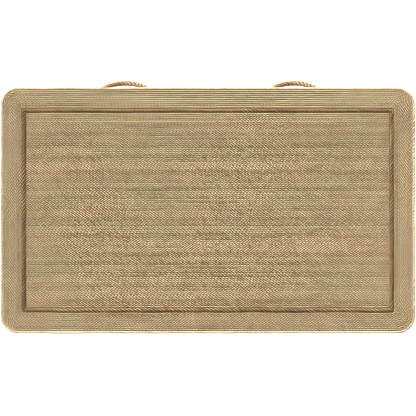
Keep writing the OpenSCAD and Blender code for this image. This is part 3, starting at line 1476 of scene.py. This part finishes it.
@dataclass
class PullHandle:
    """One rope handle: a loop outside the wall, and a knot on each end inside it.

    Attributes:
        side: Which of the two handles.
        rope: The loop's rope, wider than nominal because its thickness is over the ridges.
        knot_rope: The knots' rope.
        knot: The knots' shape.
        nominal: The rope's thickness as it is sold.
        bend_start: How far outside the wall the loop starts to bend.
        inside: How far the rope goes into the wall.
        blend_out: How far outside the wall the rope would still bend when the loop swings; not
            used.
        arc_points: Points of the loop's arc, with its two ends.
        smoothing: Steps in each stretch between two points.
    """

    side: Side
    rope: CordKind = CordKind(
        diameter=12.4 * MM,
        lay=31 * MM,
        strands=3,
        steps=16,
        groove=0.5,
        gauge_spread=0.05,
        seed=41,
    )
    knot_rope: CordKind = CordKind(
        diameter=9.4 * MM,
        lay=27 * MM,
        strands=3,
        steps=16,
        groove=0.5,
        gauge_spread=0.05,
        seed=42,
    )
    knot: KnotShape = KnotShape()
    nominal: float = 10.2 * MM
    bend_start: float = 1.0 * MM
    inside: float = 12 * MM
    blend_out: float = 9 * MM
    arc_points: int = 11
    smoothing: int = 6

    def build(self, frame: dict, maker: CordMaker, shop: Workshop) -> None:
        """Make the loop and the knots."""
        self.build_loop(frame, maker, shop)
        self.build_knots(maker, shop)

    def route(self, frame: dict) -> Line:
        """Find the loop's middle line: out of one hole, round an arc and into the other.

        Args:
            frame: The loaded frame, for the hinge's place.

        Returns:
            The line's points, from inside the wall to inside the wall.
        """
        pivot = next(Vector(j["pos_m"]) for j in frame["joints"] if j["name"] == self.side.joint)
        left, right = hole_points(self.side)
        half = (right.x - left.x) / 2
        loop = Span.of(f"{self.side.value}_handle_rope")
        rope_radius = self.nominal / 2
        tip_y = loop.hi.y - rope_radius - pivot.y
        tip_z = loop.lo.z + rope_radius - pivot.z
        reach = math.hypot(tip_y, tip_z)
        droop = math.atan2(-tip_z, tip_y)
        radius = (half**2 + reach**2) / (2 * reach)
        spread = math.asin(half / radius)
        into_wall = Vector((0, self.inside, 0))
        off_wall = Vector((0, self.bend_start, 0))
        points = [left - into_wall, left + off_wall]
        for i in range(1, self.arc_points - 1):
            angle = spread * (2 * i / (self.arc_points - 1) - 1)
            out = radius * math.cos(angle) - (radius - reach)
            across = radius * math.sin(angle)
            y = pivot.y + out * math.cos(droop)
            z = pivot.z - out * math.sin(droop)
            points.append(Vector((pivot.x + across, y, z)))
        points += [right + off_wall, right - into_wall]
        return smoothed(points, self.smoothing)

    def build_loop(self, frame: dict, maker: CordMaker, shop: Workshop) -> None:
        """Make the loop, which bends where it leaves the wall.

        Args:
            frame: The loaded frame.
            maker: Twists the rope.
            shop: Hands out the material.
        """
        line = self.route(frame)
        name = f"{self.side.value}_handle_loop"
        loop = maker.make(name, [line], self.rope, shop.grass(HANDLE))
        exit_point = hole_points(self.side)[0]
        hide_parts(f"{self.side.value}_handle_rope")
        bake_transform(loop)
        LOG.info("%s: %.0f mm of rope", name, line_length(line) / MM)

    def build_knots(self, maker: CordMaker, shop: Workshop) -> None:
        """Make the two knots inside the wall.

        Args:
            maker: Twists the rope.
            shop: Hands out the material.
        """
        lines = [self.knot.line(hole) for hole in hole_points(self.side)]
        name = f"{self.side.value}_handle_knot_pair"
        knots = maker.make(name, lines, self.knot_rope, shop.grass(HANDLE))
        settle(knots, Body.BASKET, HANDLE.slot, f"{self.side.value}_handle_knots")


# ---------------------------------------------------------------- the lid


@dataclass
class LidTop:
    """The lid's top: the panel of rows, the dark rope round it and the border.

    Attributes:
        panel_cord: The cord of the panel's rows.
        panel_pitch: Distance between rows.
        panel_pieces: How many pieces the rows are made in.
        loose: How far a row or ring may lie from its even place.
        border_cord: The cord of the border's rings.
        border_pitch: Distance between rings.
        border_gap: Room between the border and the dark rope.
        least_corner: Radius of the sharpest ring's corners, in pitches.
        accent: The dark rope.
        accent_corner: Radius of its corners.
    """

    panel_cord: CordKind = CordKind(
        diameter=5.1 * MM,
        lay=14.5 * MM,
        wander=(0, 3.2 * MM, 0.3 * MM),
        seed=51,
    )
    panel_pitch: float = 4.52 * MM
    panel_pieces: int = 3
    loose: float = 0.35 * MM
    border_cord: CordKind = CordKind(
        diameter=5.1 * MM,
        lay=14.5 * MM,
        wander=(3.2 * MM, 3.2 * MM, 0),
        seed=61,
    )
    border_pitch: float = 4.6 * MM
    border_gap: float = 0.5 * MM
    least_corner: float = 0.6
    accent: CordKind = CordKind(
        diameter=9.2 * MM,
        lay=27 * MM,
        strands=3,
        steps=14,
        groove=0.74,
        wander=(3.2 * MM, 3.2 * MM, 0),
        seed=71,
    )
    accent_corner: float = 5 * MM

    def build(self, maker: CordMaker, shop: Workshop) -> None:
        """Make the three parts of the top.

        Args:
            maker: Twists the cords.
            shop: Hands out the materials.
        """
        self.build_panel(maker, shop)
        self.build_border(maker, shop)
        self.build_accent(maker, shop)

    def build_panel(self, maker: CordMaker, shop: Workshop) -> None:
        """Lay the rows of the panel, in a few pieces.

        Args:
            maker: Twists the cords.
            shop: Hands out the material.
        """
        span = Span.of("lid_panel")
        rows = row_lines(span.lo, span.hi, span.middle.z, self.panel_pitch, self.loose)
        for i, batch in enumerate(in_batches(rows, self.panel_pieces), 1):
            piece = maker.make(f"panel_cords_{i}", batch, self.panel_cord, shop.grass(WEAVE))
            settle(piece, Body.LID, WEAVE.slot, "lid_panel")

    def build_border(self, maker: CordMaker, shop: Workshop) -> None:
        """Lay the border's rings, from round corners outside to sharp ones inside.

        Args:
            maker: Twists the cords.
            shop: Hands out the material.
        """
        outer = Span.of("lid_border")
        corner = outer.corner_past("lid_front_skirt")
        width = outer.hi.x - Span.of("accent_rope").hi.x - self.border_gap
        levels = evenly(round(width / self.border_pitch), 0.0, width)
        rings = []
        for depth in loosened(levels, self.loose, self.border_cord.seed):
            radius = max(corner - depth, self.least_corner * self.border_pitch)
            rings.append(loop_inside(outer, depth, radius, outer.middle.z))
        piece = maker.make("border_cords", rings, self.border_cord, shop.grass(WEAVE), closed=True)
        settle(piece, Body.LID, WEAVE.slot, "lid_border")

    def build_accent(self, maker: CordMaker, shop: Workshop) -> None:
        """Lay the dark rope in its channel.

        Args:
            maker: Twists the rope.
            shop: Hands out the material.
        """
        span = Span.of("accent_rope")
        loop = loop_inside(span, self.accent.diameter / 2, self.accent_corner, span.middle.z)
        material = shop.grass(ACCENT)
        piece = maker.make("accent_rope_twist", [loop], self.accent, material, closed=True)
        settle(piece, Body.LID, ACCENT.slot, "accent_rope")


@dataclass
class LidSides:
    """The lid's skirt, the rope on its lower edge, and the board inside the lid.

    Attributes:
        cord: The cord of the skirt's rings.
        pitch: Distance between rings.
        edge: The rope on the lower edge.
        board: The board's finish.
    """

    cord: CordKind = CordKind(
        diameter=6.2 * MM,
        lay=14.5 * MM,
        groove=0.4,
        gauge_spread=0.08,
        wander=(3.2 * MM, 3.2 * MM, 0.5 * MM),
        nesting=0.9,
        seed=81,
    )
    pitch: float = 4.62 * MM
    edge: CordKind = CordKind(
        diameter=8.8 * MM,
        lay=22 * MM,
        strands=3,
        steps=10,
        groove=0.42,
        wander=(3.2 * MM, 3.2 * MM, 0),
        seed=91,
    )
    board: BoardFinish = field(default_factory=BoardFinish)

    def build(self, frame: dict, maker: CordMaker, shop: Workshop) -> None:
        """Stack the skirt's rings, lay its edge rope and dress the board.

        Args:
            frame: The loaded frame.
            maker: Twists the cords.
            shop: Hands out the materials.
        """
        span = Span.of("lid_skirt_corners")
        corner = span.corner_past("lid_front_skirt")
        inset = self.cord.diameter / 2
        levels = evenly(round(span.size.z / self.pitch), span.lo.z, span.hi.z)
        rings = [loop_inside(span, inset, corner - inset, z) for z in levels]
        skirt = maker.make("skirt_cords", rings, self.cord, shop.grass(WEAVE), closed=True)
        sides = [f"lid_{side}_skirt" for side in ("front", "back", "left", "right")]
        settle(skirt, Body.LID, WEAVE.slot, "lid_skirt_corners", *sides)
        edge = Span.of("lid_edge_rope")
        inset = self.edge.diameter / 2
        loop = loop_inside(edge, inset, corner - inset, edge.middle.z)
        rope = maker.make("lid_edge_twist", [loop], self.edge, shop.grass(EDGE_ROPE), closed=True)
        settle(rope, Body.LID, EDGE_ROPE.slot, "lid_edge_rope")
        put_on(frame["nodes"]["lid_board"], shop.hard(self.board))
        LOG.info("lid_board: dressed")


# ---------------------------------------------------------------- floor, lights and camera


@dataclass
class Studio:
    """A glowing white floor, soft lights and a camera straight above the lid.

    Attributes:
        floor_size: The floor's width.
        floor_colour: How much light the floor throws back, kept low for even side light.
        floor_glow: How bright it glows, which hides all shadows on it.
        floor_roughness: How dull it is.
        white: The colour of the floor's glow and of the air.
        camera_height: How far above the lid the camera is.
        framed_width: How much of the lid's level fills the frame.
        aim: The point that the camera looks down at.
        sensor: The camera's sensor, in its own millimetres.
        sun_place: Where the sun shines from.
        sun_strength: How strong it is.
        sun_spread_deg: How wide it is, which softens its shadows.
        fill_light: How strong the air lights the object.
        backdrop: How bright the air looks.
        blur_width: How far each point of the view spreads.
    """

    floor_size: float = 60.0
    floor_colour: Colour = (0.15, 0.15, 0.15)
    floor_glow: float = 1.0
    floor_roughness: float = 0.9
    white: Colour = (1.0, 1.0, 1.0)
    camera_height: float = 5.0
    framed_width: float = 0.9165
    aim: tuple[float, float] = (0.0005, 0.0052)
    sensor: float = 36.0
    sun_place: tuple[float, float, float] = (-1.4, 1.6, 2.4)
    sun_strength: float = 10.0
    sun_spread_deg: float = 8.0
    fill_light: float = 0.30
    backdrop: float = 1.0
    blur_width: float = 0.8

    def build(self) -> None:
        """Set up the whole studio."""
        self.build_camera()
        self.build_floor()
        self.build_sun()
        self.build_air()
        bpy.context.scene.view_settings.view_transform = "Standard"
        bpy.context.scene.cycles.filter_width = self.blur_width

    def build_camera(self) -> None:
        """Look straight down at the lid through a long lens."""
        data = bpy.data.cameras.new("Camera")
        data.sensor_width = self.sensor
        data.lens = self.sensor * self.camera_height / self.framed_width
        camera = bpy.data.objects.new("Camera", data)
        edge = Span.of("lid_border").hi.z
        camera.location = (*self.aim, edge + self.camera_height)
        bpy.context.scene.collection.objects.link(camera)
        bpy.context.scene.camera = camera

    def build_floor(self) -> None:
        """Lay the floor."""
        half = self.floor_size / 2
        mesh = bpy.data.meshes.new("floor")
        corners = [(-half, -half, 0), (half, -half, 0), (half, half, 0), (-half, half, 0)]
        mesh.from_pydata(corners, [], [(0, 1, 2, 3)])
        floor = bpy.data.objects.new("studio_floor", mesh)
        bpy.context.scene.collection.objects.link(floor)
        material, _, shader = new_material("Pale floor")
        shader.inputs["Base Color"].default_value = rgba(self.floor_colour)
        shader.inputs["Roughness"].default_value = self.floor_roughness
        shader.inputs["Specular IOR Level"].default_value = 0.0
        shader.inputs["Emission Color"].default_value = rgba(self.white)
        shader.inputs["Emission Strength"].default_value = self.floor_glow
        mesh.materials.append(material)

    def build_sun(self) -> None:
        """Light the basket softly from the upper left."""
        data = bpy.data.lights.new("key_light", "SUN")
        data.energy = self.sun_strength
        data.angle = math.radians(self.sun_spread_deg)
        sun = bpy.data.objects.new("key_light", data)
        sun.rotation_euler = (-Vector(self.sun_place)).to_track_quat("-Z", "Y").to_euler()
        bpy.context.scene.collection.objects.link(sun)

    def build_air(self) -> None:
        """Surround the basket with white air that looks brighter than it lights."""
        world = bpy.data.worlds.new("Studio air")
        world.use_nodes = True
        sheet = NodeSheet(world.node_tree)
        background = world.node_tree.nodes["Background"]
        seen = sheet.add("ShaderNodeLightPath").outputs["Is Camera Ray"]
        strength = sheet.remapped(seen, 0.0, 1.0, self.fill_light, self.backdrop)
        sheet.feed(background.inputs["Strength"], strength)
        background.inputs["Color"].default_value = rgba(self.white)
        bpy.context.scene.world = world


# ---------------------------------------------------------------- main


def main() -> None:
    """Load the frame, then make and dress each part of the basket."""
    logging.basicConfig(level=logging.INFO, format="%(name)s: %(message)s")
    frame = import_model()
    Studio().build()
    shop = Workshop()
    maker = CordMaker()
    for side in Side:
        PullHandle(side).build(frame, maker, shop)
    WovenFloor().build(maker, shop)
    WovenWalls().build(maker, shop)
    WallRopes().build(maker, shop)
    WireWork().dress(frame, shop)
    LidTop().build(maker, shop)
    LidSides().build(frame, maker, shop)


if __name__ == "__main__":
    main()
